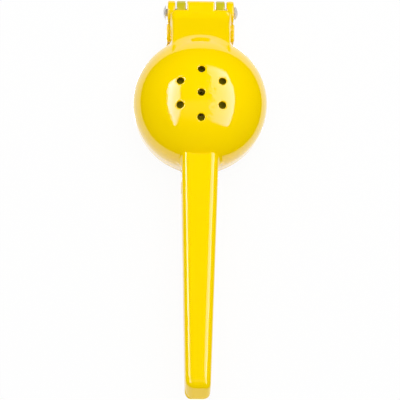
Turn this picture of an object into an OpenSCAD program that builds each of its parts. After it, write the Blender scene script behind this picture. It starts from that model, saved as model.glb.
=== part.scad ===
// Two-in-one citrus squeezer: a strainer bowl lever, a nested lime cup and a press lever on one hinge pin.
// Modelled closed, lying on the press lever, with the hinge towards +Y, the handles towards -Y
// and the domed underside of the strainer bowl facing up.

/* [Strainer bowl] */
// Outer diameter of the bowl
bowl_d = 75; // [70:1:82]
// Wall of the bowl
bowl_wall = 3; // [2:0.25:4]
// Height of the bowl's straight wall, below its widest circle
bowl_skirt = 12; // [9:0.5:14]
// Diameter of each drain hole in the bowl
drain_d = 4.1; // [3:0.1:5.5]
// Diameter of the circle that the outer drain holes lie on
drain_ring_d = 26.4; // [20:0.2:32]
// Number of drain holes around the middle one
drain_count = 6; // [5:1:8]

/* [Lime cup] */
// Room left for peel between the bowl and the cup
bowl_peel = 5.5; // [5:0.25:7]
// Wall of the cup
cup_wall = 2.5; // [2:0.25:3.5]
// Thickness of the flange that the bowl closes on
cup_flange_t = 2.4; // [2:0.2:3.4]
// How far the cup's flange stands inside the bowl's outer edge
cup_flange_inset = 0.7; // [0.3:0.1:2]
// Diameter of each drain hole in the cup
cup_drain_d = 3.4; // [2.5:0.1:4.5]
// Diameter of the circle that the cup's outer drain holes lie on
cup_drain_ring_d = 19; // [15:1:24]
// Width of the cup's lifting tab
tab_w = 13; // [9:1:14]
// Length of the cup's lifting tab along the handles
tab_l = 11; // [8:1:16]
// Thickness of the cup's lifting tab
tab_t = 2.3; // [1.8:0.1:2.6]
// Rounding of the lifting tab's corners, seen from above
tab_round = 3; // [1:0.25:4]
// Fillet between the cup's flange and what stands out from it, seen from above
flange_fillet = 2.5; // [1:0.25:3]
// Rounding of the flanges' outer edges
flange_round = 0.7; // [0.3:0.1:1]

/* [Press] */
// Room left for peel between the cup and the press dome
cup_peel = 5; // [4.75:0.25:7]
// Wall of the press dome
press_wall = 2.5; // [2:0.25:3.5]
// Thickness of the flange round the dome
press_flange_t = 2.8; // [2.2:0.2:3.4]
// Wall of the collar that stands down from the flange's edge
collar_wall = 3.4; // [2.6:0.2:5]
// How far the collar stands inside the bowl's outer edge
collar_inset = 1; // [0.5:0.1:2.5]
// Height of the collar, flange included
collar_h = 5.5; // [4.6:0.1:7]

/* [Hinge] */
// Distance from the bowl's axis to the pin's axis
hinge_reach = 54.5; // [53:0.1:60]
// Height of the pin's axis above the foot of the bowl's straight wall
pin_rise = 2; // [1:0.1:3]
// Diameter of the hinge pin
pin_d = 4.5; // [3.5:0.1:5.5]
// Diameter of the knuckles round the pin
knuckle_d = 13.4; // [11.8:0.2:14.2]
// Rounding of the outer knuckles' rims
knuckle_round = 1.3; // [0.5:0.1:1.5]
// Width of the middle knuckle, on the strainer lever
tongue_w = 15.5; // [12:0.1:17]
// Width of each of the lime cup's knuckles
lug_w = 5.1; // [3.5:0.1:6]
// Width of each of the press lever's knuckles
ear_w = 4.35; // [3.35:0.1:5.35]
// Thickness of the plate that covers the knuckles
cover_t = 3.1; // [2.4:0.1:4]
// How far the tongue's head reaches past the pin's axis
tongue_reach = 4.4; // [4:0.1:6]
// How far the cover plate's edge stops short of the pin's axis
cover_back = 0.4; // [0:0.1:2]
// Bevel round the face of the cover plate
cover_bevel = 1.2; // [0.8:0.1:2]
// Rounding of the cover plate's front corners, seen from above
cover_corner = 3; // [2.2:0.1:4.5]
// Fillet between the cover plate's sides and the bowl, seen from above
cover_fillet = 3; // [1.5:0.25:4]
// How far each shoulder of the press lever stands out past its knuckle
shoulder_step = 0.4; // [0.2:0.1:0.8]
// Thickness of the press lever's neck plate
neck_t = 3.2; // [2.4:0.1:4]
// Height above the bowl's widest circle at which the sloping top of the neck leaves the bowl
neck_rise = 13; // [8:0.5:15]
// How far the foot of that slope lies behind the cover plate's edge
neck_land = 5; // [4.2:0.1:6]
// Hollow curve between the slope and the cover plate
neck_cove = 4.5; // [2:0.5:5]
// Draft of the neck's sides
neck_draft = 8; // [7:0.5:12]
// How far the neck's sides stand inside the cover plate's face
neck_inset = 0.3; // [0.1:0.1:1]

/* [Hinge pin] */
// Diameter of the pin's mushroom head
head_d = 8.2; // [7:0.1:10]
// Height of the head's dome
head_h = 1.35; // [1:0.05:2]
// Thickness of the head's rim
head_rim = 0.25; // [0.2:0.05:0.6]
// Bare shank between the head and the knuckle
head_gap = 1; // [0.3:0.1:1.4]
// Diameter of the push-on cap
cap_d = 7.2; // [6.6:0.1:8]
// Height of the cap's straight side
cap_rim = 1; // [0.8:0.1:1.6]
// Height of the cap's dome
cap_h = 1.1; // [0.8:0.1:1.8]

/* [Handles] */
// Distance from the bowl's axis to the handles' tips
handle_l = 164.7; // [145:0.1:185]
// Width of a handle where it leaves the bowl
handle_root_w = 20.2; // [17:0.1:23]
// Width of a handle at its tip
handle_tip_w = 13.6; // [11:0.1:17]
// Height of the strainer lever's flat face above the bowl's widest circle
handle_face_z = 21; // [19:0.5:23]
// Depth of the strainer lever's handle
lower_handle_h = 13.5; // [11:0.25:14]
// Depth of the press lever's handle
upper_handle_h = 12.5; // [10:0.25:13]
// How far the tip's outer edge stops short of its inner edge
tip_slant = 6; // [3:0.5:9]
// Rounding of the handles' outer long edges
grip_round = 3; // [2:0.25:4]
// Rounding of the handles' inner long edges
inner_round = 2; // [1.5:0.25:3]
// Rounding of the tip's outer edge, seen from the side
tip_round = 3; // [1.5:0.25:4]
// Rounding of the tip's inner edge, seen from the side
tip_inner_round = 1.5; // [1:0.25:3]
// Rounding of the tip's corners, seen from above
tip_plan_round = 3.2; // [2:0.2:5]
// Fillet between the strainer lever's handle and the bowl
root_fillet = 3; // [2:0.25:4]
// Fillet between the press lever's handle and the collar, seen from above
collar_fillet = 2; // [1:0.5:8]

/* [Fits] */
// Gap between the leaves where they close on each other
leaf_gap = 0.3; // [0.2:0.05:0.5]
// Side gap between neighbouring knuckles
side_gap = 0.8; // [0.4:0.1:1]
// Radial running clearance of the pin in the tongue and the cup's knuckles
pin_clear = 0.05; // [0.02:0.01:0.1]
// Radial grip of the press lever's knuckles and of the cap on the pin
pin_grip = 0.01; // [0.005:0.005:0.02]
// Clearance round a moving knuckle or arm
swing_gap = 0.7; // [0.4:0.1:1]

/* [Hidden] */
$fn = 96;
e = 0.01;

// Radii of the nested shells, from the outside in
bowl_r = bowl_d / 2;
bowl_in_r = bowl_r - bowl_wall;
cup_r = bowl_in_r - bowl_peel;
cup_in_r = cup_r - cup_wall;
dome_r = cup_in_r - cup_peel;
dome_in_r = dome_r - press_wall;
cup_flange_r = bowl_r - cup_flange_inset;
collar_r = bowl_r - collar_inset;

// Levels of the closing faces, below the bowl's widest circle
rim_z = -bowl_skirt - bowl_wall / 2;
cup_flange_top = rim_z - leaf_gap;
cup_flange_bottom = cup_flange_top - cup_flange_t;
press_top = cup_flange_bottom - leaf_gap;
press_flange_bottom = press_top - press_flange_t;
base_z = press_top - collar_h;

// Hinge
pin_z = pin_rise - bowl_skirt;
knuckle_r = knuckle_d / 2;
cover_bottom = pin_z + knuckle_r + leaf_gap;
cover_top = cover_bottom + cover_t;
lug_x = tongue_w / 2 + side_gap;
lug_out = lug_x + lug_w;
ear_x = lug_out + side_gap;
ear_out = ear_x + ear_w;
shoulder_out = ear_out + shoulder_step;
cover_w = 2 * (ear_x + ear_w * 0.7);
cover_half = cover_w / 2;
cover_front = hinge_reach - cover_back;
cover_fillet_y = fillet_y(bowl_r, cover_half, cover_fillet);
tongue_round = 1.5;
sink = 0.4;
neck_edge = hinge_reach - knuckle_r - swing_gap;
notch_drop = 1;
neck_half = cover_half - cover_bevel - neck_inset;
neck_foot = cover_front - neck_land;
neck_head = sqrt(bowl_r * bowl_r - neck_rise * neck_rise);
neck_slope = atan((neck_rise - cover_top) / (neck_foot - neck_head));
neck_bottom = (cover_bottom + cover_top) / 2;

// Handles
lower_bottom = handle_face_z - lower_handle_h;
upper_top = base_z + upper_handle_h;
root_half = handle_root_w / 2 - sink;
root_sink = 0.02;
upper_start = bowl_r + leaf_gap + swing_gap + tab_t + swing_gap;
tab_top = (lower_bottom + upper_top + tab_t) / 2;
tab_in = bowl_r + swing_gap;

// The part frame's origin lies under the middle of the closed squeezer
mid_y = (hinge_reach + knuckle_r - handle_l) / 2;

yellow = [0.99, 0.82, 0.02];
green = [0.74, 0.76, 0.12];
steel = [0.80, 0.81, 0.82];

// Moves the children from the bowl's centre to the part frame
module in_part_frame() {
    translate([0, -mid_y, -base_z]) children();
}

// Extrudes a side profile, drawn as (Y, Z), across the squeezer from x to x + w
module across(x, w) {
    translate([x, 0, 0]) rotate([90, 0, 90]) linear_extrude(w) children();
}

// The same shape on both sides of the middle plane
module both_sides() {
    children();
    mirror([1, 0, 0]) children();
}

// A dome's outer profile: a quarter round, on a straight wall that runs down to a level below it
module dome_profile(r, z) {
    intersection() {
        circle(r);
        square(r + 1);
    }
    if (z < 0) translate([0, z]) square([r, -z]);
}

// A ring of upright holes with one in its middle
module drains(d, ring_d, count, h) {
    cylinder(d = d, h = h);
    for (i = [0 : count - 1])
        rotate([0, 0, 90 + i * 360 / count]) translate([ring_d / 2, 0, 0]) cylinder(d = d, h = h);
}

// A bore or shaft along the pin's axis, from x to x + w
module on_pin(x, w, d) {
    translate([x, hinge_reach, pin_z]) rotate([0, 90, 0]) cylinder(d = d, h = w);
}

// A knuckle's profile round the pin's axis
module knuckle() {
    translate([hinge_reach, pin_z]) circle(knuckle_r);
}

// A knuckle with rounded rims, from x to x + w
module barrel(x, w, r) {
    translate([x, hinge_reach, pin_z]) rotate([0, 90, 0]) rotate_extrude() difference() {
        square([knuckle_r, w]);
        translate([knuckle_r, w]) corner_waste(r, -1);
        translate([knuckle_r, 0]) corner_waste(r, 1);
    }
}

// Width of a handle at a distance from the bowl's axis
function handle_w(y) = handle_root_w + (handle_tip_w - handle_root_w) * (y - bowl_r) / (handle_l - bowl_r);

// What rounding takes off a square corner at the origin, whose sides run towards -X and s * Y
module corner_waste(r, s) {
    difference() {
        translate([-r, s > 0 ? -1 : -r]) square(r + 1);
        translate([-r, s * r]) circle(r);
    }
}

// A handle's section, drawn as (X, Z) with its right side on X = 0
module grip_section(w, out_z, in_z) {
    s = sign(in_z - out_z);
    difference() {
        translate([-w, min(out_z, in_z)]) square([w, abs(in_z - out_z)]);
        translate([0, out_z]) corner_waste(grip_round, s);
        translate([0, in_z]) corner_waste(inner_round, -s);
    }
}

// The section drawn out along the handle's tapering right side
module grip_side(start, out_z, in_z) {
    taper = atan((handle_root_w - handle_tip_w) / 2 / (handle_l - bowl_r));
    translate([handle_root_w / 2, -bowl_r, 0]) rotate([0, 0, -taper]) translate([0, bowl_r - start, 0])
        rotate([90, 0, 0]) linear_extrude(handle_l - start + tip_round)
            grip_section(2 * handle_root_w, out_z, in_z);
}

// The handle's side view, with its slanted tip
module grip_profile(start, out_z, in_z) {
    s = sign(in_z - out_z);
    hull() {
        translate([-start, min(out_z, in_z)]) square([e, abs(in_z - out_z)]);
        translate([tip_slant + tip_round - handle_l, out_z + s * tip_round]) circle(tip_round);
        translate([tip_inner_round - handle_l, in_z - s * tip_inner_round]) circle(tip_inner_round);
    }
}

// The handle's top view, with rounded corners at the tip
module grip_plan(start) {
    side = tip_plan_round / 10;
    offset(r = tip_plan_round) offset(delta = -tip_plan_round) polygon([
        [handle_root_w, -start + tip_plan_round], [handle_w(start) / 2 + side, -start],
        [handle_tip_w / 2 + side, -handle_l], [-handle_tip_w / 2 - side, -handle_l],
        [-handle_w(start) / 2 - side, -start], [-handle_root_w, -start + tip_plan_round]
    ]);
}

// A tapered grip with rounded long edges and a slanted tip
module grip(start, out_z, in_z) {
    intersection() {
        grip_side(start, out_z, in_z);
        mirror([1, 0, 0]) grip_side(start, out_z, in_z);
        across(-handle_root_w, 2 * handle_root_w) grip_profile(start, out_z, in_z);
        translate([0, 0, min(out_z, in_z) - 1]) linear_extrude(abs(out_z - in_z) + 2) grip_plan(start);
    }
}

// How far from the origin, along Y, a fillet ends that joins a round body to a side at X = half
function fillet_y(body_r, half, r) = sqrt(pow(body_r + r, 2) - pow(half + r, 2));

// That fillet, from above, with a root inside both, and not yet hollowed
module fillet_wedge(body_r, half, r) {
    y = fillet_y(body_r, half, r);
    k = body_r / (body_r + r);
    inner = (body_r - sink) / (body_r + r);
    polygon([
        [half - sink, y], [half, y], [(half + r) * k, y * k], [(half + r) * inner, y * inner],
        [half - sink, y * inner - r]
    ]);
}

// The hollowed fillets on both sides of a bar that leaves a round body towards +Y
module bar_fillets(body_r, half, r) {
    for (side = [0, 1]) mirror([side, 0]) difference() {
        fillet_wedge(body_r, half, r);
        translate([half + r, fillet_y(body_r, half, r)]) circle(r);
    }
}

// The fillet between the bowl and a flat side at X = half, as a part of a ring about the X axis on the side
// of -Y, from one angle above the bowl's widest circle to another
module ball_fillet(half, r, low, high) {
    rotate([-90, 0, 0]) rotate([0, 90, 0]) rotate([0, 0, -high]) rotate_extrude(angle = high - low)
        intersection() {
            mirror([1, -1]) difference() {
                fillet_wedge(bowl_r, half, r);
                translate([half + r, fillet_y(bowl_r, half, r)]) circle(r);
            }
            square(2 * bowl_r);
        }
}

// The fillet between the bowl and one side of the strainer lever's handle
module handle_fillet() {
    low = asin((lower_bottom + inner_round + sink) / bowl_r);
    high = asin((handle_face_z - grip_round - sink) / (bowl_r + root_fillet));
    ball_fillet(handle_w(bowl_r + root_fillet) / 2 - root_sink, root_fillet, low, high);
}

// The fillet between the bowl and one drafted side of the neck
module neck_fillet() {
    low = asin((neck_bottom - (neck_half + cover_fillet) * sin(neck_draft)) / bowl_r);
    half = neck_half * cos(neck_draft) + cover_top * sin(neck_draft);
    rotate([0, -neck_draft, 0]) mirror([0, 1, 0])
        ball_fillet(half - root_sink, cover_fillet, low, 90 - neck_slope);
}

// The side profile of the neck's top: a slope off the bowl, with a hollow curve at its foot
module neck_profile() {
    run = neck_cove * tan(neck_slope / 2);
    back = bowl_r * sin(neck_slope + asin(neck_rise / bowl_r)) * sin(neck_slope);
    difference() {
        polygon([
            [back, neck_bottom], [neck_foot + run, neck_bottom], [neck_foot + run, cover_top],
            [neck_foot - run * cos(neck_slope), cover_top + run * sin(neck_slope)],
            [back, cover_top + (neck_foot - back) * tan(neck_slope)]
        ]);
        translate([neck_foot + run, cover_top + neck_cove - root_sink]) circle(neck_cove);
    }
}

// The upper part of the neck, from the bowl down to the cover plate
module neck_web() {
    top = neck_half - (bowl_r - cover_top) * tan(neck_draft);
    foot = neck_half + (cover_top - neck_bottom + 1) * tan(neck_draft);
    intersection() {
        across(-bowl_r, bowl_d) neck_profile();
        union() {
            rotate([90, 0, 180]) linear_extrude(cover_front)
                polygon([[-foot, neck_bottom - 1], [foot, neck_bottom - 1], [top, bowl_r], [-top, bowl_r]]);
            both_sides() neck_fillet();
        }
    }
}

// One half of the cover plate's outline, from above, with square front corners
module cover_plan() {
    translate([0, bowl_in_r - bowl_wall]) square([cover_half, cover_front - bowl_in_r + bowl_wall]);
    fillet_wedge(bowl_r, cover_half, cover_fillet);
}

// What the front corner's rounding and bevel leave off a square one
module corner_offcut() {
    translate([cover_half - cover_corner, cover_front - cover_corner, cover_bottom]) difference() {
        translate([0, 0, -1]) cube([cover_corner + 1, cover_corner + 1, cover_t + 2]);
        translate([0, 0, -2]) cylinder(r = cover_corner, h = cover_t - cover_bevel + 2);
        translate([0, 0, cover_t - cover_bevel]) cylinder(r1 = cover_corner, r2 = cover_corner - cover_bevel - 1,
            h = cover_bevel + 1);
    }
}

// The plate that covers the knuckles, bevelled round its face and filleted into the bowl
module cover_plate() {
    edge = cover_top - cover_bevel;
    difference() {
        translate([0, 0, cover_bottom]) linear_extrude(cover_t) {
            cover_plan();
            mirror([1, 0]) cover_plan();
        }
        both_sides() {
            translate([cover_half + cover_fillet, cover_fillet_y, cover_bottom - 1])
                cylinder(r = cover_fillet, h = cover_t + 2);
            translate([cover_half + cover_fillet, cover_fillet_y, edge])
                cylinder(r1 = cover_fillet, r2 = cover_fillet + cover_bevel + 1, h = cover_bevel + 1);
            translate([0, cover_front - cover_corner, 0]) rotate([90, 0, 0])
                linear_extrude(cover_front - cover_corner - cover_fillet_y) polygon([
                    [cover_half + 1, edge - 1], [cover_half + 1, cover_top + 1],
                    [cover_half - cover_bevel - 1, cover_top + 1]
                ]);
            corner_offcut();
        }
        across(cover_corner - cover_half, cover_w - 2 * cover_corner) polygon([
            [cover_front + 1, edge - 1], [cover_front + 1, cover_top + 1],
            [cover_front - cover_bevel - 1, cover_top + 1]
        ]);
    }
}

// The side profile of the tongue, which carries the middle knuckle
module tongue_profile() {
    head = hinge_reach + tongue_reach;
    under = -bowl_skirt - bowl_wall / 4;
    knuckle();
    polygon([
        [bowl_in_r - bowl_wall, under], [hinge_reach, under], [head, pin_z], [head, cover_top - tongue_round],
        [head - tongue_round, cover_top], [bowl_in_r - bowl_wall, cover_top]
    ]);
    translate([head - tongue_round, cover_top - tongue_round]) circle(tongue_round);
}

// The bowl's outside, with a full round rim
module bowl_solid() {
    rotate_extrude() {
        dome_profile(bowl_r, -bowl_skirt);
        translate([bowl_r - bowl_wall / 2, -bowl_skirt]) circle(bowl_wall / 2);
    }
}

// The bowl's hollow, open below
module bowl_hollow() {
    sphere(bowl_in_r);
    translate([0, 0, base_z]) cylinder(r = bowl_in_r, h = -base_z);
}

module lower_lever() {
    color(yellow) in_part_frame() difference() {
        union() {
            bowl_solid();
            grip(bowl_r * 0.8, handle_face_z, lower_bottom);
            both_sides() handle_fillet();
            cover_plate();
            neck_web();
            across(-tongue_w / 2, tongue_w) tongue_profile();
        }
        bowl_hollow();
        drains(drain_d, drain_ring_d, drain_count, bowl_r + 1);
        on_pin(-tongue_w, 2 * tongue_w, pin_d + 2 * pin_clear);
    }
}

// The cup's shell and flange, revolved about the bowl's axis
module cup_shell() {
    rotate_extrude() difference() {
        union() {
            dome_profile(cup_r, cup_flange_bottom);
            translate([0, cup_flange_bottom]) square([cup_flange_r, cup_flange_t]);
        }
        dome_profile(cup_in_r, cup_flange_bottom - e);
        translate([cup_flange_r, cup_flange_top]) corner_waste(flange_round, -1);
        translate([cup_flange_r, cup_flange_bottom]) corner_waste(flange_round, 1);
    }
}

// The side profile of the arms that carry the cup's knuckles
module lug_profile() {
    root = bowl_r + swing_gap;
    knuckle();
    polygon([
        [cup_flange_r - 3, cup_flange_bottom], [hinge_reach, cup_flange_bottom], [hinge_reach, pin_z + 2],
        [root + 3, pin_z], [root, pin_z - 1.5], [root, cup_flange_top], [cup_flange_r - 3, cup_flange_top]
    ]);
}

// The side profile of the lifting tab, which steps up between the two handles
module tab_profile() {
    web = tab_in + tab_t;
    tip = tab_in + tab_l;
    polygon([
        [-cup_flange_r + 3, cup_flange_bottom], [-web, cup_flange_bottom], [-web, tab_top - tab_t],
        [-tip, tab_top - tab_t], [-tip, tab_top], [-tab_in, tab_top], [-tab_in, cup_flange_top],
        [-cup_flange_r + 3, cup_flange_top]
    ]);
}

module lifting_tab() {
    difference() {
        across(-tab_w / 2, tab_w) tab_profile();
        both_sides() translate([tab_w / 2, -tab_in - tab_l, tab_top - tab_t - 1]) linear_extrude(tab_t + 2)
            corner_waste(tab_round, 1);
    }
}

module lime_cup() {
    color(green) in_part_frame() difference() {
        union() {
            cup_shell();
            both_sides() across(lug_x, lug_w) lug_profile();
            translate([-lug_out, cup_in_r, cup_flange_bottom]) cube([2 * lug_out, neck_edge - cup_in_r, cup_flange_t]);
            lifting_tab();
            translate([0, 0, cup_flange_bottom]) linear_extrude(cup_flange_t) {
                bar_fillets(cup_flange_r, lug_out, flange_fillet);
                mirror([0, 1]) bar_fillets(cup_flange_r, tab_w / 2, flange_fillet);
            }
        }
        sphere(cup_in_r);
        translate([0, 0, base_z]) cylinder(r = cup_in_r, h = -base_z);
        drains(cup_drain_d, cup_drain_ring_d, drain_count, bowl_r);
        on_pin(-ear_out, 2 * ear_out, pin_d + 2 * pin_clear);
    }
}

// The press dome, its flange and the collar under the flange's edge
module press_solid() {
    rotate_extrude() {
        dome_profile(dome_r, press_flange_bottom);
        difference() {
            union() {
                translate([0, press_flange_bottom]) square([collar_r, press_flange_t]);
                translate([collar_r - collar_wall, base_z]) square([collar_wall, collar_h]);
            }
            translate([collar_r, press_top]) corner_waste(flange_round, -1);
            translate([collar_r, base_z]) corner_waste(flange_round, 1);
        }
    }
}

// The hollow of the dome and the shallow dish inside the collar
module press_hollow() {
    rotate_extrude() {
        dome_profile(dome_in_r, base_z - 1);
        translate([0, base_z - 1]) square([collar_r - collar_wall, press_flange_bottom - base_z + 1]);
        translate([0, press_flange_bottom - e]) polygon([[0, 0], [dome_in_r + 1.5, 0], [dome_in_r, 1.5], [0, 1.5]]);
    }
}

// The side profile of what carries a knuckle on the press lever, with a notch between knuckle and shoulder
module ear_profile() {
    polygon([
        [neck_edge - 2, base_z], [neck_edge, base_z], [hinge_reach - 1, pin_z - knuckle_r + 0.1],
        [hinge_reach, pin_z], [neck_edge - 2, pin_z - notch_drop]
    ]);
}

// The side profile of the arm behind the knuckle
module shoulder_profile() {
    root = bowl_r - leaf_gap;
    polygon([
        [root - 8, base_z], [neck_edge, base_z], [neck_edge, pin_z + 4],
        [root + 1.5, pin_z + 4], [root, pin_z + 2.5], [root, press_top], [root - 8, press_top]
    ]);
}

module upper_lever() {
    color(yellow) in_part_frame() difference() {
        union() {
            press_solid();
            grip(upper_start, base_z, upper_top);
            translate([0, 0, base_z]) linear_extrude(collar_h) mirror([0, 1]) {
                translate([-root_half, dome_r]) square([2 * root_half, upper_start - dome_r + grip_round]);
                bar_fillets(collar_r, root_half, collar_fillet);
            }
            translate([-shoulder_out, dome_r, base_z]) cube([2 * shoulder_out, neck_edge - dome_r, neck_t]);
            both_sides() {
                barrel(ear_x, ear_w, knuckle_round);
                across(ear_x, ear_w) ear_profile();
                across(ear_x, ear_w + shoulder_step) shoulder_profile();
            }
        }
        press_hollow();
        on_pin(-ear_out - 1, 2 * ear_out + 2, pin_d - 2 * pin_grip);
    }
}

// A shallow dome of a diameter and height, on a straight rim, along +Z
module button(d, rim, h) {
    r = (d * d / 4 + h * h) / (2 * h);
    cylinder(d = d, h = rim);
    intersection() {
        translate([0, 0, rim]) cylinder(d = d, h = h);
        translate([0, 0, rim + h - r]) sphere(r);
    }
}

module hinge_pin() {
    head_x = ear_out + head_gap;
    color(steel) in_part_frame() {
        on_pin(-head_x - head_rim / 2, head_x + head_rim / 2 + ear_out + leaf_gap + cap_rim, pin_d);
        translate([-head_x, hinge_reach, pin_z]) rotate([0, -90, 0]) button(head_d, head_rim, head_h);
    }
}

module pin_cap() {
    cap_x = ear_out + leaf_gap;
    color(steel) in_part_frame() difference() {
        translate([cap_x, hinge_reach, pin_z]) rotate([0, 90, 0]) button(cap_d, cap_rim, cap_h);
        on_pin(cap_x - 1, cap_rim + 1, pin_d - 2 * pin_grip);
    }
}

lower_lever();
lime_cup();
upper_lever();
hinge_pin();
pin_cap();
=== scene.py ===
import bpy
import math
import numpy as np
from mathutils import Matrix, Vector


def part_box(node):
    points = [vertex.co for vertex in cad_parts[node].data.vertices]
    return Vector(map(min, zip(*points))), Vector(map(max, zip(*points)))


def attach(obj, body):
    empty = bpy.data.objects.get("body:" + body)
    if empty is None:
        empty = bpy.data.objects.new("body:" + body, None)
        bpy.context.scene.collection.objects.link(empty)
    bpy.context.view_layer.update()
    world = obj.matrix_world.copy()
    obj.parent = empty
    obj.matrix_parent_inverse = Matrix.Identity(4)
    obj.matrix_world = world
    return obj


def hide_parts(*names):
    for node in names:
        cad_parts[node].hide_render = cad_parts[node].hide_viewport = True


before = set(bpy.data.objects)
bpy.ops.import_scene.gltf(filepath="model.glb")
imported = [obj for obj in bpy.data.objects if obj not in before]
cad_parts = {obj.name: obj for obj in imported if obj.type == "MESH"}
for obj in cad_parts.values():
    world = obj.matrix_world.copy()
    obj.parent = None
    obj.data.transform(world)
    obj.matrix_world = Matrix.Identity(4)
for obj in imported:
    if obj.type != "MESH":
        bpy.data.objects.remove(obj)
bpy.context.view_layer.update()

mm = 0.001

# Shared sizes in millimetres, measured from the middle of the strainer bowl's widest circle
shared = {
    "handleLength": 164.7,      # from the bowl's axis to the tips of the handles
    "handleRootWidth": 20.2,
    "handleTipWidth": 13.6,
    "tipSlope": (13.5, 8.0),    # the tip's face leans back by the second as it rises by the first
    "bowlRadius": 37.5,
    "knuckleRadius": 6.7,
    "boreRadius": 2.3,
    "boreEdge": 0.3,
    "skewWidth": 4.0,           # left and right differ fully beyond this far from the middle
    "tipBlend": 4.0,            # the long edges' radius turns into the tip's over this
    "drainCount": 6,            # round the ring, with one more in its middle
    "drillLength": 30.0,
    "drillSides": 72,
}

leverBox = [Vector(corner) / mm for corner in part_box("lower_lever")]
pinBox = [Vector(corner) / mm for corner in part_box("hinge_pin")]
bowlCentre = Vector((0, leverBox[0].y + shared["handleLength"],
                     leverBox[1].z - shared["bowlRadius"]))
pinY = (pinBox[0].y + pinBox[1].y) / 2 - bowlCentre.y
pinZ = (pinBox[0].z + pinBox[1].z) / 2 - bowlCentre.z
floorZ = -bowlCentre.z

print("frame read, pin at", round(pinY, 2), round(pinZ, 2))


# Shapes are distance fields in millimetres round the bowl's middle, negative inside
def join(a, b, r):      # union with a fillet of radius r
    return np.maximum(r, np.minimum(a, b)) - np.hypot(np.maximum(r - a, 0), np.maximum(r - b, 0))


def meet(a, b, r):      # intersection with its edge rounded by r
    return np.minimum(-r, np.maximum(a, b)) + np.hypot(np.maximum(r + a, 0), np.maximum(r + b, 0))


def slab(v, low, high):
    return np.maximum(low - v, v - high)


def dome(x, y, z, radius):      # a half ball on an endless straight wall
    across = np.hypot(x, y)
    return np.where(z > 0, np.sqrt(across ** 2 + z ** 2), across) - radius


def knuckle(y, z, radius):
    return np.hypot(y - pinY, z - pinZ) - radius


def outline(u, v, points):      # distance to a closed outline, negative inside
    nearest, inside = np.inf, False
    for (au, av), (bu, bv) in zip(points, points[1:] + points[:1]):
        eu, ev = bu - au, bv - av
        along = np.clip(((u - au) * eu + (v - av) * ev) / (eu * eu + ev * ev), 0, 1)
        nearest = np.minimum(nearest, np.hypot(u - au - eu * along, v - av - ev * along))
        if av != bv:
            inside = inside ^ (((av > v) != (bv > v)) & (u < au + eu * (v - av) / ev))
    return nearest * np.where(inside, -1, 1)


def grip(x, y, z, size):        # a tapering handle with rounded long edges and a leaning tip
    reach = -y
    span = shared["handleLength"] - shared["bowlRadius"]
    taper = (shared["handleRootWidth"] - shared["handleTipWidth"]) / 2 / span
    half = shared["handleRootWidth"] / 2 - taper * (reach - shared["bowlRadius"])
    side = (np.abs(x) - half) / math.hypot(1, taper)
    inward = size["outward"] * (size["outer"] - z)      # depth below the flat outer face
    deep = abs(size["outer"] - size["inner"])
    rise, lean = shared["tipSlope"]
    tip = (reach - shared["handleLength"] - size["tipLead"]) * rise + (deep - inward) * lean
    tip = tip / math.hypot(rise, lean)
    hand = np.clip(x / shared["skewWidth"], -1, 1)      # left to right
    body = meet(side, tip, size["tipCorner"] - size["tipSkew"] * hand)
    atTip = np.clip((tip - side) / shared["tipBlend"] + 0.5, 0, 1)
    edge = size["edge"] + size["edgeSkew"] * hand
    body = meet(body, -inward, edge + (size["tipEdge"] - edge) * atTip)
    body = meet(body, inward - deep, size["innerEdge"])
    return meet(body, size["start"] - reach, size["startEdge"])


meshing = {
    "passes": 4,                # moves of every corner onto the true surface
    "probe": 0.02,              # step for a field's slope, in millimetres
    "castSoftness": 0.25,       # the same step where it sets a casting's shading
    "drilledSoftness": 0.15,
}


def gridLine(*stops):       # positions from stop to stop, each with the spacing up to the next
    parts = []
    for (low, step), (high, _) in zip(stops, stops[1:]):
        count = max(1, round((high - low) / step))
        parts.append(np.linspace(low, high, count, endpoint=False))
    return np.append(np.concatenate(parts), stops[-1][0])


def slope(field, points, step):
    columns = []
    for axis in range(3):
        shift = np.zeros(3)
        shift[axis] = step
        ahead, behind = points + shift, points - shift
        columns.append((field(*ahead.T) - field(*behind.T)) / (2 * step))
    return np.stack(columns, axis=1)


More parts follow.
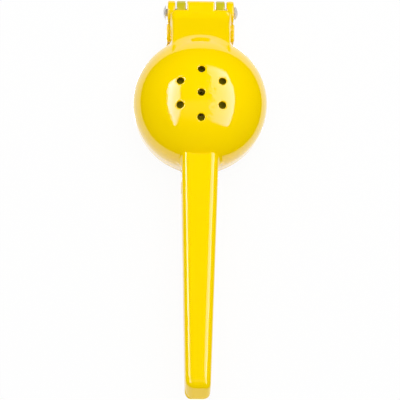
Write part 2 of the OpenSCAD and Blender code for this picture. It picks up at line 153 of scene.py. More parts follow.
# Surface nets: one corner in each grid cell that the surface crosses, then moved onto it
def skin(field, xs, ys, zs):
    values = field(xs[:, None, None], ys[None, :, None], zs[None, None, :])
    inside = values < 0
    lines = (xs, ys, zs)
    cells = tuple(len(line) - 1 for line in lines)
    total = np.zeros(cells + (3,))
    hits = np.zeros(cells)
    crossings = []
    for axis in range(3):
        near = [slice(None)] * 3
        far = [slice(None)] * 3
        near[axis], far[axis] = slice(0, -1), slice(1, None)
        a, b = values[tuple(near)], values[tuple(far)]
        crossed = inside[tuple(near)] != inside[tuple(far)]
        share = np.where(crossed, a / np.where(crossed, a - b, 1), 0)
        shape = [1, 1, 1]
        shape[axis] = -1
        spot = []
        for other in range(3):
            place = [1, 1, 1]
            place[other] = -1
            line = lines[other]
            if other == axis:
                spot.append(line[:-1].reshape(shape) + share * np.diff(line).reshape(shape))
            else:
                spot.append(np.broadcast_to(line.reshape(place), share.shape))
        spot = np.stack(spot, axis=-1) * crossed[..., None]
        sides = [other for other in range(3) if other != axis]
        for first in range(2):
            for second in range(2):
                window = [slice(None)] * 3
                window[sides[0]] = slice(first, cells[sides[0]] + first)
                window[sides[1]] = slice(second, cells[sides[1]] + second)
                total += spot[tuple(window)]
                hits += crossed[tuple(window)]
        crossings.append(crossed)
    used = hits > 0
    number = np.full(cells, -1)
    number[used] = np.arange(used.sum())
    points = total[used] / hits[used][:, None]

    quads = []
    for axis in range(3):
        u, v = (axis + 1) % 3, (axis + 2) % 3
        index = np.stack(np.nonzero(crossings[axis]), axis=1)
        keep = np.ones(len(index), bool)
        for side in (u, v):
            keep &= (index[:, side] > 0) & (index[:, side] < cells[side])
        index = index[keep]
        around = []
        for du, dv in ((-1, -1), (0, -1), (0, 0), (-1, 0)):
            cell = index.copy()
            cell[:, u] += du
            cell[:, v] += dv
            around.append(number[tuple(cell.T)])
        quad = np.stack(around, axis=1)
        leaving = inside[tuple(index.T)]
        quad[~leaving] = quad[~leaving][:, ::-1]
        quads.append(quad)

    limit = 0.5 * max(np.diff(zs).max(), np.diff(xs).min())
    for _ in range(meshing["passes"]):
        grade = slope(field, points, meshing["probe"])
        steep = np.maximum((grade ** 2).sum(axis=1), 1e-6)
        move = (field(*points.T) / steep)[:, None] * grade
        length = np.maximum(np.linalg.norm(move, axis=1), 1e-9)[:, None]
        points = points - move * np.minimum(1, limit / length)
    return points, np.concatenate(quads)


def shapeNormals(field, points, soften):
    normals = slope(field, points, soften)
    return normals / np.maximum(np.linalg.norm(normals, axis=1), 1e-9)[:, None]


def setNormals(mesh, field, soften):        # shading that follows the shape, not the facets
    points = np.empty(len(mesh.vertices) * 3)
    mesh.vertices.foreach_get("co", points)
    points = points.reshape(-1, 3) / mm - np.array(bowlCentre)
    mesh.shade_smooth()
    mesh.normals_split_custom_set_from_vertices(shapeNormals(field, points, soften))


def meshPiece(name, points, faces, material):
    mesh = bpy.data.meshes.new(name)
    mesh.from_pydata(((points + np.array(bowlCentre)) * mm).tolist(), [], faces.tolist())
    mesh.materials.append(material)
    piece = bpy.data.objects.new(name, mesh)
    bpy.context.scene.collection.objects.link(piece)
    return piece


def casting(name, field, lines, material):
    points, faces = skin(field, *lines)
    piece = meshPiece(name, points, faces, material)
    setNormals(piece.data, field, meshing["castSoftness"])
    print(name, "cast,", len(faces) * 2, "triangles")
    return piece


def addNode(tree, kind, inputs=None, **options):
    node = tree.nodes.new(kind)
    for key, value in options.items():
        setattr(node, key, value)
    for key, value in (inputs or {}).items():
        if isinstance(value, bpy.types.NodeSocket):
            tree.links.new(value, node.inputs[key])
        else:
            node.inputs[key].default_value = value
    return node


def math2(tree, operation, a, b=0.0):
    return addNode(tree, "ShaderNodeMath", {0: a, 1: b}, operation=operation).outputs[0]


enamelSettings = {
    "yellow": (0.985, 0.70, 0.0, 1),
    "yellowShade": (0.97, 0.68, 0.0, 1),
    "green": (0.60, 0.55, 0.017, 1),
    "greenShade": (0.56, 0.50, 0.014, 1),
    "gloss": (0.035, 0.07),     # roughness at its least and most
    "cloudScale": 60.0,         # clouds per metre in gloss and colour
    "ior": 1.5,
    "specular": 0.5,
    "glint": (1.0, 0.45, 1.0, 1),
    "waveScale": 210.0,     # waves per metre in the poured enamel
    "waveDepth": 0.00002,
    "peelScale": 900.0,
    "peelDepth": 0.000006,
}
steelSettings = {
    "colour": (0.80, 0.78, 0.75, 1),
    "metallic": 0.55,
    "roughness": 0.25,
    "roughnessSpread": 0.12,
    "grainScale": 2600.0,
    "grainStretch": (1.0, 0.2, 0.2),
    "grainDepth": 0.000002,
}


def makeEnamelGroup():
    tree = bpy.data.node_groups.new("enamelCoat", "ShaderNodeTree")
    face = tree.interface
    for name, kind in (("Paint", "Color"), ("Shade", "Color"), ("Wave Scale", "Float"),
                       ("Wave Depth", "Float"), ("Peel Scale", "Float"), ("Peel Depth", "Float")):
        face.new_socket(name, in_out="INPUT", socket_type="NodeSocket" + kind)
    for name, kind in (("Colour", "Color"), ("Roughness", "Float"), ("Normal", "Vector")):
        face.new_socket(name, in_out="OUTPUT", socket_type="NodeSocket" + kind)
    given = addNode(tree, "NodeGroupInput").outputs
    place = addNode(tree, "ShaderNodeTexCoord").outputs["Object"]
    cloud = addNode(tree, "ShaderNodeTexNoise",
                    {"Vector": place, "Scale": enamelSettings["cloudScale"], "Detail": 3.0,
                     "Roughness": 0.6})
    wave = addNode(tree, "ShaderNodeTexNoise",
                   {"Vector": place, "Scale": given["Wave Scale"], "Detail": 1.0,
                    "Roughness": 0.45})
    peel = addNode(tree, "ShaderNodeTexNoise",
                   {"Vector": place, "Scale": given["Peel Scale"], "Detail": 2.0, "Roughness": 0.5})
    mixer = addNode(tree, "ShaderNodeMix", {0: cloud.outputs[0]}, data_type="RGBA")
    tree.links.new(given["Paint"], mixer.inputs[6])
    tree.links.new(given["Shade"], mixer.inputs[7])
    smoothest, roughest = enamelSettings["gloss"]
    gloss = addNode(tree, "ShaderNodeMapRange",
                    {"Value": cloud.outputs[0], "From Min": 0.3, "From Max": 0.7,
                     "To Min": smoothest, "To Max": roughest})
    broad = addNode(tree, "ShaderNodeBump",
                    {"Strength": 1.0, "Distance": given["Wave Depth"], "Height": wave.outputs[0]})
    fine = addNode(tree, "ShaderNodeBump",
                   {"Strength": 1.0, "Distance": given["Peel Depth"], "Height": peel.outputs[0],
                    "Normal": broad.outputs[0]})
    out = addNode(tree, "NodeGroupOutput")
    tree.links.new(mixer.outputs[2], out.inputs["Colour"])
    tree.links.new(gloss.outputs[0], out.inputs["Roughness"])
    tree.links.new(fine.outputs[0], out.inputs["Normal"])
    return tree


def newMaterial(name):
    material = bpy.data.materials.new(name)
    material.use_nodes = True
    tree = material.node_tree
    return material, tree, tree.nodes["Principled BSDF"]


def makeEnamel(name, group, paint, shade):
    material, tree, shader = newMaterial(name)
    coat = addNode(tree, "ShaderNodeGroup", node_tree=group)
    settings = enamelSettings
    for socket, key in (("Paint", paint), ("Shade", shade),
                        ("Wave Scale", "waveScale"), ("Wave Depth", "waveDepth"),
                        ("Peel Scale", "peelScale"), ("Peel Depth", "peelDepth")):
        coat.inputs[socket].default_value = settings[key]
    for source, socket in (("Colour", "Base Color"), ("Roughness", "Roughness"),
                           ("Normal", "Normal")):
        tree.links.new(coat.outputs[source], shader.inputs[socket])
    shader.inputs["IOR"].default_value = settings["ior"]
    shader.inputs["Specular IOR Level"].default_value = settings["specular"]
    shader.inputs["Specular Tint"].default_value = settings["glint"]
    return material


def makeSteel():
    material, tree, shader = newMaterial("pinSteel")
    settings = steelSettings
    place = addNode(tree, "ShaderNodeTexCoord").outputs["Object"]
    stretched = addNode(tree, "ShaderNodeMapping",
                        {"Vector": place, "Scale": settings["grainStretch"]}).outputs[0]
    grain = addNode(tree, "ShaderNodeTexNoise",
                    {"Vector": stretched, "Scale": settings["grainScale"], "Detail": 3.0})
    bump = addNode(tree, "ShaderNodeBump",
                   {"Distance": settings["grainDepth"], "Height": grain.outputs[0]})
    rough = addNode(tree, "ShaderNodeMapRange",
                    {"Value": grain.outputs[0], "To Min": settings["roughness"],
                     "To Max": settings["roughness"] + settings["roughnessSpread"]})
    shader.inputs["Base Color"].default_value = settings["colour"]
    shader.inputs["Metallic"].default_value = settings["metallic"]
    tree.links.new(rough.outputs[0], shader.inputs["Roughness"])
    tree.links.new(bump.outputs[0], shader.inputs["Normal"])
    return material


enamelGroup = makeEnamelGroup()
yellowEnamel = makeEnamel("yellowEnamel", enamelGroup, "yellow", "yellowShade")
greenEnamel = makeEnamel("greenEnamel", enamelGroup, "green", "greenShade")
pinSteel = makeSteel()
print("finishes made")


def makeDrainTree():        # drills a ring of drains and one in its middle
    tree = bpy.data.node_groups.new("drains", "GeometryNodeTree")
    face = tree.interface
    face.new_socket("Geometry", in_out="INPUT", socket_type="NodeSocketGeometry")
    for name in ("Hole Diameter", "Ring Diameter", "Depth"):
        face.new_socket(name, in_out="INPUT", socket_type="NodeSocketFloat")
    face.new_socket("Count", in_out="INPUT", socket_type="NodeSocketInt")
    face.new_socket("Centre", in_out="INPUT", socket_type="NodeSocketVector")
    face.new_socket("Finish", in_out="INPUT", socket_type="NodeSocketMaterial")
    face.new_socket("Geometry", in_out="OUTPUT", socket_type="NodeSocketGeometry")
    given = addNode(tree, "NodeGroupInput").outputs
    ringRadius = math2(tree, "MULTIPLY", given["Ring Diameter"], 0.5)
    ring = addNode(tree, "GeometryNodeMeshCircle",
                   {"Vertices": given["Count"], "Radius": ringRadius})
    turned = addNode(tree, "GeometryNodeTransform",
                     {"Geometry": ring.outputs[0], "Rotation": (0, 0, math.pi / 2)})
    middle = addNode(tree, "GeometryNodePoints", {"Count": 1})
    spots = addNode(tree, "GeometryNodeJoinGeometry")
    tree.links.new(turned.outputs[0], spots.inputs[0])
    middleMesh = addNode(tree, "GeometryNodePointsToVertices", {"Points": middle.outputs[0]})
    tree.links.new(middleMesh.outputs[0], spots.inputs[0])
    drill = addNode(tree, "GeometryNodeMeshCylinder",
                    {"Vertices": shared["drillSides"], "Depth": given["Depth"],
                     "Radius": math2(tree, "MULTIPLY", given["Hole Diameter"], 0.5)})
    drills = addNode(tree, "GeometryNodeInstanceOnPoints",
                     {"Points": spots.outputs[0], "Instance": drill.outputs["Mesh"]})
    real = addNode(tree, "GeometryNodeRealizeInstances", {"Geometry": drills.outputs[0]})
    placed = addNode(tree, "GeometryNodeTransform",
                     {"Geometry": real.outputs[0], "Translation": given["Centre"]})
    holed = addNode(tree, "GeometryNodeMeshBoolean",
                    {"Mesh 1": given["Geometry"], "Mesh 2": placed.outputs[0]},
                    operation="DIFFERENCE", solver="MANIFOLD")
    plain = addNode(tree, "GeometryNodeRealizeInstances", {"Geometry": holed.outputs[0]})
    finish = addNode(tree, "GeometryNodeSetMaterial",
                     {"Geometry": plain.outputs[0], "Material": given["Finish"]})
    out = addNode(tree, "NodeGroupOutput")
    tree.links.new(finish.outputs[0], out.inputs[0])
    return tree


def applyTree(piece, tree, values):     # runs a tree on a piece and keeps the result as its mesh
    modifier = piece.modifiers.new(tree.name, "NODES")
    modifier.node_group = tree
    for item in tree.interface.items_tree:
        if item.in_out == "INPUT" and item.name in values:
            modifier[item.identifier] = values[item.name]
    bpy.context.view_layer.update()
    result = piece.evaluated_get(bpy.context.evaluated_depsgraph_get())
    mesh = bpy.data.meshes.new_from_object(result)
    piece.modifiers.clear()
    old = piece.data
    piece.data = mesh
    mesh.name = piece.name
    bpy.data.meshes.remove(old)


def drill(piece, tree, size, field, material):
    applyTree(piece, tree, {
        "Hole Diameter": size["drain"] * mm,
        "Ring Diameter": size["drainRing"] * mm,
        "Depth": shared["drillLength"] * mm,
        "Count": shared["drainCount"],
        "Centre": (bowlCentre + Vector((0, 0, size["drainLevel"]))) * mm,
        "Finish": material,
    })

    def holed(x, y, z):
        shape = field(x, y, z)
        for spot in drainSpots(size):
            hole = np.hypot(x - spot[0], y - spot[1])
            shape = meet(shape, size["drain"] / 2 - hole, size["drainEdge"])
        return shape

    setNormals(piece.data, holed, meshing["drilledSoftness"])
    count = sum(len(face.vertices) - 2 for face in piece.data.polygons)
    print(piece.name, "drilled,", count, "triangles")


def drainSpots(size):
    ring = size["drainRing"] / 2
    count = shared["drainCount"]
    turns = [math.tau * (0.25 + step / count) for step in range(count)]
    return [(0, 0)] + [(ring * math.cos(turn), ring * math.sin(turn)) for turn in turns]


drainTree = makeDrainTree()

strainer = {
    "wall": 3.0,
    "rimLevel": -12.0,          # centre of the rim's full round
    "drain": 4.1,
    "drainRing": 26.4,
    "drainLevel": 30.0,
    "drainEdge": 0.45,
    "outer": 21.0,              # level of the handle's flat face
    "inner": 7.5,
    "outward": 1,
    "edge": 4.4,
    "edgeSkew": 0.5,            # more on the right edge, less on the left
    "tipSkew": 0.9,             # less on the tip's right corner, more on its left
    "innerEdge": 2.0,
    "tipCorner": 3.9,
    "tipEdge": 2.8,
    "tipLead": 0.6,
    "start": 27.0,
    "startEdge": 0.2,
    "rootFillet": 4.0,
    "faceFillet": 0.3,
    "faceFade": (8.0, 1.3),     # height over which one becomes the other, and its shift
    "plateHalf": 17.5,
    "plateFront": 54.1,
    "plateTop": 0.1,
    "plateBottom": -3.0,
    "plateCorner": 3.0,
    "plateEdge": 1.1,
    "plateFootEdge": 0.4,
    "neckStart": 20.0,
    "neckHead": (34.7, 14.2),   # where the neck's slope leaves the bowl, as (y, z)
    "neckFoot": 50.0,           # where it runs out on the plate
    "neckCove": 1.6,
    "neckLean": 1.4,            # how far the neck's sides lean in from foot to top
    "neckFillet": 1.6,
    "neckFilletFade": (24.0, 5.0, 0.02),    # level where it ends, over what height, what stays
    "tongueHalf": 7.75,
    "tongueStart": 30.0,
    "tongueFillet": 0.3,
    "tongueHead": 58.9,
    "tongueFoot": -12.75,
    "tongueEdge": 0.6,
    "headEdge": 1.5,
}


def strainerOutside(x, y, z):
    size = strainer
    across = np.hypot(x, y)
    middle = shared["bowlRadius"] - size["wall"] / 2
    below = z - size["rimLevel"]
    rim = np.hypot(np.maximum(across - middle, 0), below) - size["wall"] / 2
    bowl = np.where(below > 0, dome(x, y, z, shared["bowlRadius"]), rim)
    fade, shift = size["faceFade"]
    nearFace = np.clip((z - size["outer"]) / fade + shift, 0, 1)
    fillet = size["rootFillet"] + (size["faceFillet"] - size["rootFillet"]) * nearFace
    shape = join(bowl, grip(x, y, z, size), fillet)
    headY, headZ = size["neckHead"]
    run, drop = size["neckFoot"] - headY, headZ - size["plateTop"]
    ramp = (y - size["neckFoot"]) * drop + (z - size["plateTop"]) * run
    ramp = ramp / math.hypot(run, drop)
    top = join(z - size["plateTop"], ramp, size["neckCove"])
    height = np.maximum(headZ + (headY - y) * drop / run, 0)
    share = np.clip((z - size["plateBottom"]) / (height - size["plateBottom"]), 0, 1)
    wall = np.abs(x) - size["plateHalf"] + size["neckLean"] * share
    side = meet(wall, y - size["plateFront"], size["plateCorner"])
    neck = meet(side, top, size["plateEdge"])
    neck = meet(neck, size["plateBottom"] - z, size["plateFootEdge"])
    neck = np.maximum(neck, size["neckStart"] - y)
    level, over, least = size["neckFilletFade"]
    shape = join(shape, neck, size["neckFillet"] * np.clip((level - z) / over, least, 1))
    head = meet(y - size["tongueHead"], z - size["plateTop"], size["headEdge"])
    arm = np.maximum(np.maximum(head, size["tongueFoot"] - z), size["tongueStart"] - y)
    barrel = np.maximum(knuckle(y, z, shared["knuckleRadius"]), z - size["plateTop"])
    profile = join(arm, barrel, size["tongueFillet"])
    tongue = meet(profile, np.abs(x) - size["tongueHalf"], size["tongueEdge"])
    return np.minimum(shape, tongue)


def strainerField(x, y, z):
    size = strainer
    across = np.hypot(x, y)
    inner = shared["bowlRadius"] - size["wall"]
    middle = shared["bowlRadius"] - size["wall"] / 2
    below = z - size["rimLevel"]
    foot = np.where(across < middle, np.hypot(middle - across, below),
                    np.abs(below) - across + middle)
    hollow = np.where(below > 0, -dome(x, y, z, inner), foot - size["wall"] / 2)
    shape = np.maximum(strainerOutside(x, y, z), hollow)
    return meet(shape, -knuckle(y, z, shared["boreRadius"]), shared["boreEdge"])


# Where the mesh is fine and coarse: stops of (position, spacing up to the next)
strainerLines = (
    gridLine((-38.6, 0.7), (38.6, 0)),
    gridLine((-166, 0.6), (-153, 2.6), (-44, 0.7), (62.4, 0)),
    gridLine((-17.9, 0.7), (38.6, 0)),
)
strainerLever = casting("strainerLever", strainerField, strainerLines, yellowEnamel)
drill(strainerLever, drainTree, strainer, strainerField, yellowEnamel)
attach(strainerLever, "strainer")
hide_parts("lower_lever")

limeCup = {
    "radius": 29.0,
    "wall": 2.5,
    "flangeRadius": 36.8,
    "flangeTop": -13.8,
    "flangeBottom": -16.2,
    "flangeEdge": 0.7,
    "seat": 1.5,
    "drain": 3.4,
    "drainRing": 19.0,
    "drainLevel": 22.0,
    "drainEdge": 0.4,
    "lugIn": 8.55,
    "lugOut": 13.65,
    "lugEdge": 0.7,
    "lugFillet": 0.8,
    "overlap": 3.0,             # how far arms and tab reach in under the flange
    "armRoot": 38.2,
    "armRise": 2.0,
    "armCorner": (3.0, 1.5),
    "armFillet": 1.0,
    "stemStart": 20.0,          # neck and tab stem start this far from the axis
    "neckEnd": 47.1,
    "planFillet": 2.5,
    "tabHalf": 6.5,
    "tabIn": 38.2,
    "tabLength": 11.0,
    "tabThick": 2.3,
    "tabTop": 0.15,
    "tabCorner": 3.0,
    "tabEdge": 0.7,
    "tabFillet": 0.8,
    "mouthEdge": 0.6,
}


def limeCupField(x, y, z):
    size = limeCup
    across = np.hypot(x, y)
    level = slab(z, size["flangeBottom"], size["flangeTop"])
    shell = np.maximum(dome(x, y, z, size["radius"]), size["flangeBottom"] - z)
    neck = np.maximum(np.abs(x) - size["lugOut"], y - size["neckEnd"])
    neck = np.maximum(neck, size["stemStart"] - y)
    stem = np.maximum(np.abs(x) - size["tabHalf"], -y - size["tabIn"] - size["tabThick"])
    stem = np.maximum(stem, size["stemStart"] + y)
    plan = join(across - size["flangeRadius"], neck, size["planFillet"])
    plan = join(plan, stem, size["planFillet"])
    flange = meet(plan, level, size["flangeEdge"])
    shape = join(shell, flange, size["seat"])
    under = size["flangeRadius"] - size["overlap"]
    root = size["armRoot"]
    along, down = size["armCorner"]
    armPoints = [
        (under, size["flangeBottom"]), (pinY, size["flangeBottom"]), (pinY, pinZ + size["armRise"]),
        (root + along, pinZ), (root, pinZ - down), (root, size["flangeTop"]),
        (under, size["flangeTop"]),
    ]
    arm = join(outline(y, z, armPoints), knuckle(y, z, shared["knuckleRadius"]), size["armFillet"])
    lug = meet(arm, slab(np.abs(x), size["lugIn"], size["lugOut"]), size["lugEdge"])
    shape = join(shape, lug, size["lugFillet"])
    web = -size["tabIn"] - size["tabThick"]
    tip = -size["tabIn"] - size["tabLength"]
    foot = size["tabTop"] - size["tabThick"]
    tabPoints = [
        (-under, size["flangeBottom"]), (web, size["flangeBottom"]), (web, foot),
        (tip, foot), (tip, size["tabTop"]), (-size["tabIn"], size["tabTop"]),
        (-size["tabIn"], size["flangeTop"]), (-under, size["flangeTop"]),
    ]
    tabPlan = meet(np.abs(x) - size["tabHalf"], tip - y, size["tabCorner"])
    tab = meet(outline(y, z, tabPoints), tabPlan, size["tabEdge"])
    shape = join(shape, tab, size["tabFillet"])
    hollow = dome(x, y, z, size["radius"] - size["wall"])
    shape = meet(shape, -hollow, size["mouthEdge"])
    return meet(shape, -knuckle(y, z, shared["boreRadius"]), shared["boreEdge"])


cupLines = (
    gridLine((-38.0, 0.7), (38.0, 0)),
    gridLine((-51.0, 0.7), (62.4, 0)),
    gridLine((-17.9, 0.7), (30.2, 0)),
)
cupPiece = casting("limeCup", limeCupField, cupLines, greenEnamel)
drill(cupPiece, drainTree, limeCup, limeCupField, greenEnamel)
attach(cupPiece, "cup")
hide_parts("lime_cup")

press = {
    "domeRadius": 21.5,
    "domeWall": 2.5,
    "top": -16.5,
    "flangeBottom": -19.3,
    "collarRadius": 36.5,
    "collarWall": 3.4,
    "edgeRound": 0.7,
    "seat": 2.0,
    "mouthBevel": 1.5,
    "outer": floorZ,
    "inner": floorZ + 12.5,
    "outward": -1,
    "edge": 3.0,
    "edgeSkew": 0.0,
    "tipSkew": 0.0,
    "innerEdge": 2.0,
    "tipCorner": 3.4,
    "tipEdge": 2.8,
    "tipLead": 0.6,
    "start": 41.5,
    "startEdge": 1.2,
    "barEnd": 48.0,
    "barInset": 0.4,
    "coreReach": 15.0,          # bar and neck start this far from the axis
    "gripFillet": 1.0,
    "collarFillet": 2.0,
    "neckThick": 3.2,
    "neckEnd": 47.1,
    "neckInset": 0.3,
    "neckFillet": 0.6,
    "plateFillet": 0.8,
    "earIn": 14.45,
    "earOut": 18.8,
    "earEdge": 1.1,
    "earOverlap": 2.0,
    "earFoot": (1.0, 0.1),      # its lower corner, inwards of the knuckle's lowest point
    "earFillet": 0.5,
    "notch": 1.0,
    "shoulderEdge": 0.9,
    "shoulderOut": 19.2,
    "shoulderTop": -6.0,
    "shoulderRoot": 37.2,
    "shoulderDepth": 8.0,
    "shoulderCorner": 1.5,
    "shoulderFillet": 0.3,
    "shoulderSeat": 0.5,
    "hollowEdge": 0.4,
    "dishEdge": 0.8,
}


def pressField(x, y, z):
    size = press
    across = np.hypot(x, y)
    lift = slab(z, floorZ, size["top"])
    bar = np.abs(x) - shared["handleRootWidth"] / 2 + size["barInset"]
    bar = np.maximum(np.maximum(bar, -y - size["barEnd"]), size["coreReach"] + y)
    plan = join(across - size["collarRadius"], bar, size["collarFillet"])
    shape = meet(plan, lift, size["edgeRound"])
    shape = join(shape, grip(x, y, z, size), size["gripFillet"])
    neckPlan = np.maximum(np.abs(x) - size["shoulderOut"], y - size["neckEnd"])
    neckPlan = np.maximum(neckPlan, size["coreReach"] - y)
    neckPlan = join(across - size["collarRadius"] + size["neckInset"], neckPlan, size["neckFillet"])
    neck = meet(neckPlan, slab(z, floorZ, floorZ + size["neckThick"]), size["edgeRound"])
    shape = join(shape, neck, size["plateFillet"])
    neckY = size["neckEnd"]
    earRoot = neckY - size["earOverlap"]
    footIn, footUp = size["earFoot"]
    earPoints = [
        (earRoot, floorZ), (neckY, floorZ),
        (pinY - footIn, pinZ - shared["knuckleRadius"] + footUp),
        (pinY, pinZ), (earRoot, pinZ - size["notch"]),
    ]
    ear = join(outline(y, z, earPoints), knuckle(y, z, shared["knuckleRadius"]), size["earFillet"])
    ear = meet(ear, slab(np.abs(x), size["earIn"], size["earOut"]), size["earEdge"])
    root = size["shoulderRoot"]
    back = root - size["shoulderDepth"]
    top, corner = size["shoulderTop"], size["shoulderCorner"]
    shoulderPoints = [
        (back, floorZ), (neckY, floorZ), (neckY, top), (root + corner, top),
        (root, top - corner), (root, size["top"]), (back, size["top"]),
    ]
    sides = slab(np.abs(x), size["earIn"], size["shoulderOut"])
    shoulder = meet(outline(y, z, shoulderPoints), sides, size["shoulderEdge"])
    hinge = join(shoulder, ear, size["shoulderFillet"])
    shape = join(shape, hinge, size["shoulderSeat"])
    ball = np.maximum(dome(x, y, z, size["domeRadius"]), size["flangeBottom"] - z)
    shape = join(shape, ball, size["seat"])
    inner = size["domeRadius"] - size["domeWall"]
    mouth = np.maximum(inner + size["mouthBevel"] - np.maximum(z - size["flangeBottom"], 0), inner)
    hollow = np.where(z > 0, dome(x, y, z, inner), across - mouth)
    dish = np.maximum(across - size["collarRadius"] + size["collarWall"], z - size["flangeBottom"])
    shape = meet(shape, -hollow, size["hollowEdge"])
    shape = meet(shape, -dish, size["dishEdge"])
    return np.maximum(shape, floorZ - z)


pressLines = (
    gridLine((-37.8, 0.7), (37.8, 0)),
    gridLine((-166, 0.6), (-153, 2.6), (-50, 0.7), (62.4, 0)),
    gridLine((floorZ - 1.0, 0.7), (22.8, 0)),
)
pressLever = casting("pressLever", pressField, pressLines, yellowEnamel)
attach(pressLever, "press")
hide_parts("upper_lever")

pin = {
    "shankRadius": 2.25,
    "headRadius": 4.1,
    "headDome": 1.35,
    "headRim": 0.25,
    "headX": -19.8,
    "end": 20.1,
    "capX": 19.1,
    "capRadius": 3.6,
    "capRim": 1.0,
    "capDome": 1.1,
    "edge": 0.12,
    "edgeAngle": 40.0,
    "around": 96,
    "domeRows": 17,
}


def lathe(name, profile, material):     # turns a profile of (along, radius) round the pin's axis
    points = []
    faces = []
    count = pin["around"]
    for along, radius in profile:
        for step in range(count):
            turn = math.tau * step / count
            points.append((along, pinY + radius * math.cos(turn), pinZ + radius * math.sin(turn)))
    last = (len(profile) - 1) * count
    for row in range(0, last, count):
        for step in range(count):
            after = (step + 1) % count
            faces.append((row + step, row + after, row + count + after, row + count + step))
    faces.append(tuple(reversed(range(count))))
    faces.append(tuple(range(last, last + count)))
    mesh = bpy.data.meshes.new(name)
    mesh.from_pydata([(Vector(point) + bowlCentre) * mm for point in points], [], faces)
    mesh.materials.append(material)
    piece = bpy.data.objects.new(name, mesh)
    bpy.context.scene.collection.objects.link(piece)
    mesh.shade_smooth()
    modifier = piece.modifiers.new("edges", "BEVEL")
    modifier.width = pin["edge"] * mm
    modifier.segments = 2
    modifier.limit_method = "ANGLE"
    modifier.angle_limit = math.radians(pin["edgeAngle"])
    modifier.harden_normals = True
    return piece


def domeProfile(start, radius, height, sense):     # from the rim to the pole
    ball = (radius ** 2 + height ** 2) / (2 * height)
    last = pin["domeRows"] - 0.5        # a small flat face closes the pole
    rows = []
    for step in range(pin["domeRows"]):
        r = radius * math.cos(math.pi / 2 * step / last)
        rise = math.sqrt(ball ** 2 - r ** 2) - (ball - height)
        rows.append((start + sense * rise, r))
    return rows


def makePin():
    rim = pin["headX"] - pin["headRim"]
    head = domeProfile(rim, pin["headRadius"], pin["headDome"], -1)
    profile = head[::-1] + [(pin["headX"], pin["headRadius"]), (pin["headX"], pin["shankRadius"]),
                            (pin["end"], pin["shankRadius"])]
    return lathe("hingePin", profile, pinSteel)


def makeCap():
    rim = pin["capX"] + pin["capRim"]
    profile = [(pin["capX"], pin["shankRadius"]), (pin["capX"], pin["capRadius"])]
    profile += domeProfile(rim, pin["capRadius"], pin["capDome"], 1)
    return lathe("pinCap", profile, pinSteel)


pinPiece = makePin()
capPiece = makeCap()
for piece, node in ((pinPiece, "hinge_pin"), (capPiece, "pin_cap")):
    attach(piece, "press")
    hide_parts(node)
print("pin and cap turned")

stage = {
    "floorSize": 6.0,
    "floorColour": (0.86, 0.86, 0.86, 1),
    "floorRoughness": 0.9,
    "floorLift": 0.94,          # how far the floor is whitened where it is seen directly
    "skyFill": 0.69,            # light on everything that doesn't reflect
    "axisTilt": 10.0,
    "dim": 0.0,                 # what reflections see overhead between the boxes
    "white": 1.09,              # and what they see below the edge of the white surroundings
    "whiteEdge": (30.2, 3.0, 3.0, 10.3, -1.75, -3.8),   # its depth in degrees, round the compass
    "whiteSoft": 1.5,
    "lowest": 0.04,             # the boxes end this little above the horizon
    "ragNoise": {"Scale": 4.6, "Detail": 5.0, "Roughness": 0.75},   # tears the boxes' sides
    "ragStretch": 1.4,
}
lamps = {
    "keyPanel": {"direction": (0.10, 0.18, 0.975), "distance": 0.75, "size": (0.6, 0.6),
                 "radiance": 2.6},
}
# Soft boxes as reflections see them, in gnomonic coordinates round the upright axis
boxes = {
    "leftBox": {
        "left": (-1.66, -1.5), "right": (-0.74, -0.68), "low": (0.55, 0.8), "high": (1.25, 1.5),
        "leftBend": (-0.3, 0.0), "rightBend": (0.0, -0.19), "lowLean": -1.43,
        "glow": (15.0, 6.0), "rag": (1.7, 0.1),
    },
    "rightBox": {
        "left": (0.34, 0.42), "right": (1.66, 1.76), "low": (-0.44, -0.33), "high": (2.0, 3.2),
        "leftBend": (0.0, 0.0), "rightBend": (0.17, 0.0), "lowLean": 0.53,
        "glow": (3.4, 9.0), "rag": (1.5, 0.05),
    },
    "haze": {
        "left": (-1.1, -0.5), "right": (0.3, 0.8), "low": (-0.7, -0.1), "high": (0.0, 0.2),
        "leftBend": (0.0, 0.0), "rightBend": (0.0, 0.0), "lowLean": 0.0,
        "glow": (0.35, 0.35), "rag": (0.3, 0.3),
    },
}


def makeFloor():
    half = stage["floorSize"] / 2
    mesh = bpy.data.meshes.new("floor")
    corners = [(-half, -half, 0), (half, -half, 0), (half, half, 0), (-half, half, 0)]
    mesh.from_pydata(corners, [], [(0, 1, 2, 3)])
    floor = bpy.data.objects.new("floor", mesh)
    bpy.context.scene.collection.objects.link(floor)
    material, tree, shader = newMaterial("floorPaper")
    shader.inputs["Base Color"].default_value = stage["floorColour"]
    shader.inputs["Roughness"].default_value = stage["floorRoughness"]
    shader.inputs["Specular IOR Level"].default_value = 0.0
    seen = addNode(tree, "ShaderNodeLightPath").outputs["Is Camera Ray"]
    glow = addNode(tree, "ShaderNodeEmission", {"Color": (1, 1, 1, 1), "Strength": 1.0})
    share = math2(tree, "MULTIPLY", seen, stage["floorLift"])
    mixed = addNode(tree, "ShaderNodeMixShader",
                    {0: share, 1: shader.outputs[0], 2: glow.outputs[0]})
    tree.links.new(mixed.outputs[0], tree.nodes["Material Output"].inputs["Surface"])
    mesh.materials.append(material)
    floor.visible_glossy = False


def makeLamp(name, size):
    light = bpy.data.lights.new(name, "AREA")
    light.shape = "RECTANGLE"
    light.size, light.size_y = size["size"]
    light.energy = size["radiance"] * math.pi * light.size * light.size_y
    lamp = bpy.data.objects.new(name, light)
    away = Vector(size["direction"]).normalized()
    lamp.matrix_world = (Matrix.Translation(bowlCentre * mm + away * size["distance"])
                         @ away.to_track_quat("Z", "Y").to_matrix().to_4x4())
    lamp.visible_glossy = False
    bpy.context.scene.collection.objects.link(lamp)


def ramp(tree, value, low, high):       # a smooth step up from low to high
    return addNode(tree, "ShaderNodeMapRange", {"Value": value, "From Min": low, "From Max": high},
                   interpolation_type="SMOOTHSTEP").outputs[0]


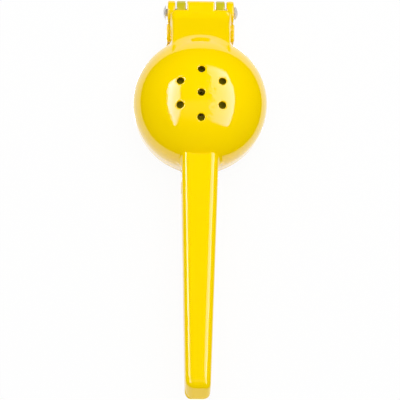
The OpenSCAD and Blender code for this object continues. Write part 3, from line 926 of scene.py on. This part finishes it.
def scaled(tree, value, factor, offset):
    return addNode(tree, "ShaderNodeMath", {0: value, 1: factor, 2: offset},
                   operation="MULTIPLY_ADD").outputs[0]


def product(tree, *values):
    total = values[0]
    for value in values[1:]:
        total = math2(tree, "MULTIPLY", total, value)
    return total


def paintBox(tree, across, along, rough, size):     # how bright one soft box is in a direction
    squared = math2(tree, "MULTIPLY", along, along)
    sides = []
    for name, rag in zip(("left", "right"), size["rag"]):
        lean, bow = size[name + "Bend"]
        curve = scaled(tree, along, lean, math2(tree, "MULTIPLY", squared, bow))
        line = math2(tree, "SUBTRACT", across, curve)
        torn = math2(tree, "ADD", line, scaled(tree, rough, rag, -rag / 2))
        sides.append(ramp(tree, torn, *size[name]))
    mask = product(tree, sides[0],
                   math2(tree, "SUBTRACT", 1.0, sides[1]),
                   ramp(tree, scaled(tree, across, size["lowLean"], along), *size["low"]),
                   math2(tree, "SUBTRACT", 1.0, ramp(tree, along, *size["high"])))
    first, last = size["glow"]
    glow = scaled(tree, ramp(tree, across, size["left"][0], size["right"][1]), last - first, first)
    return math2(tree, "MULTIPLY", mask, glow)


def makeWorld():
    world = bpy.data.worlds.new("studio")
    bpy.context.scene.world = world
    world.use_nodes = True
    tree = world.node_tree
    tree.nodes.clear()
    path = addNode(tree, "ShaderNodeLightPath")
    ray = addNode(tree, "ShaderNodeTexCoord").outputs["Generated"]
    tilt = math.radians(stage["axisTilt"])

    def part(axis):
        return addNode(tree, "ShaderNodeVectorMath", {0: ray, 1: axis},
                       operation="DOT_PRODUCT").outputs["Value"]

    sideways = part((1, 0, 0))
    forward = part((0, math.cos(tilt), math.sin(tilt)))
    upright = part((0, -math.sin(tilt), math.cos(tilt)))
    flat = math2(tree, "SQRT", math2(tree, "SUBTRACT", 1.0001, product(tree, upright, upright)))
    c = math2(tree, "DIVIDE", sideways, flat)
    s = math2(tree, "DIVIDE", forward, flat)
    double = math2(tree, "SUBTRACT", product(tree, c, c), product(tree, s, s))
    fourfold = scaled(tree, product(tree, double, double), 2.0, -1.0)
    edge = stage["whiteEdge"][0]
    for shape, size in zip((c, s, double, fourfold, product(tree, c, s)), stage["whiteEdge"][1:]):
        edge = scaled(tree, shape, size, edge)
    depth = math2(tree, "MULTIPLY", math2(tree, "ARCSINE", upright), -180 / math.pi)
    below = math2(tree, "SUBTRACT", depth, edge)
    white = ramp(tree, below, -stage["whiteSoft"], stage["whiteSoft"])

    height = math2(tree, "MAXIMUM", upright, stage["lowest"])
    across = math2(tree, "DIVIDE", sideways, height)
    along = math2(tree, "DIVIDE", forward, height)
    stretched = math2(tree, "MULTIPLY", along, stage["ragStretch"])
    place = addNode(tree, "ShaderNodeCombineXYZ", {0: across, 1: stretched}).outputs[0]
    rough = addNode(tree, "ShaderNodeTexNoise", {"Vector": place, **stage["ragNoise"]}).outputs[0]
    glow = stage["dim"]
    for size in boxes.values():
        glow = math2(tree, "ADD", paintBox(tree, across, along, rough, size), glow)
    mirror = math2(tree, "ADD", glow, math2(tree, "MULTIPLY", white, stage["white"]))
    glossy = path.outputs["Is Glossy Ray"]
    mirror = math2(tree, "MULTIPLY", mirror, glossy)
    fill = math2(tree, "MULTIPLY", math2(tree, "SUBTRACT", 1.0, glossy), stage["skyFill"])
    shade = math2(tree, "ADD", mirror, fill)
    strength = math2(tree, "MAXIMUM", shade, path.outputs["Is Camera Ray"])
    background = addNode(tree, "ShaderNodeBackground",
                         {"Color": (1, 1, 1, 1), "Strength": strength})
    out = addNode(tree, "ShaderNodeOutputWorld")
    tree.links.new(background.outputs[0], out.inputs[0])


makeFloor()
makeWorld()
for name, size in lamps.items():
    makeLamp(name, size)
print("stage and lamps set")

view = {
    "aim": (0.45, -54.18, 0.0),     # millimetres from the middle of the bowl
    "distance": 1000.0,
    "tilt": 7.0,
    "yaw": -1.1,
    "roll": 0.53,
    "lens": 161.55,
    "sensor": 36.0,
    "clip": (0.05, 20.0),
}


def makeCamera():
    data = bpy.data.cameras.new("camera")
    data.lens = view["lens"]
    data.sensor_width = view["sensor"]
    data.clip_start, data.clip_end = view["clip"]
    camera = bpy.data.objects.new("camera", data)
    yaw, tilt, roll = (Matrix.Rotation(math.radians(view[name]), 4, axis)
                       for name, axis in (("yaw", "Y"), ("tilt", "X"), ("roll", "Z")))
    aim = (bowlCentre + Vector(view["aim"])) * mm
    camera.matrix_world = (Matrix.Translation(aim) @ (yaw @ tilt) @ roll
                           @ Matrix.Translation((0, 0, view["distance"] * mm)))
    bpy.context.scene.collection.objects.link(camera)
    bpy.context.scene.camera = camera


makeCamera()
bpy.context.scene.view_settings.view_transform = "Standard"
bpy.context.view_layer.update()
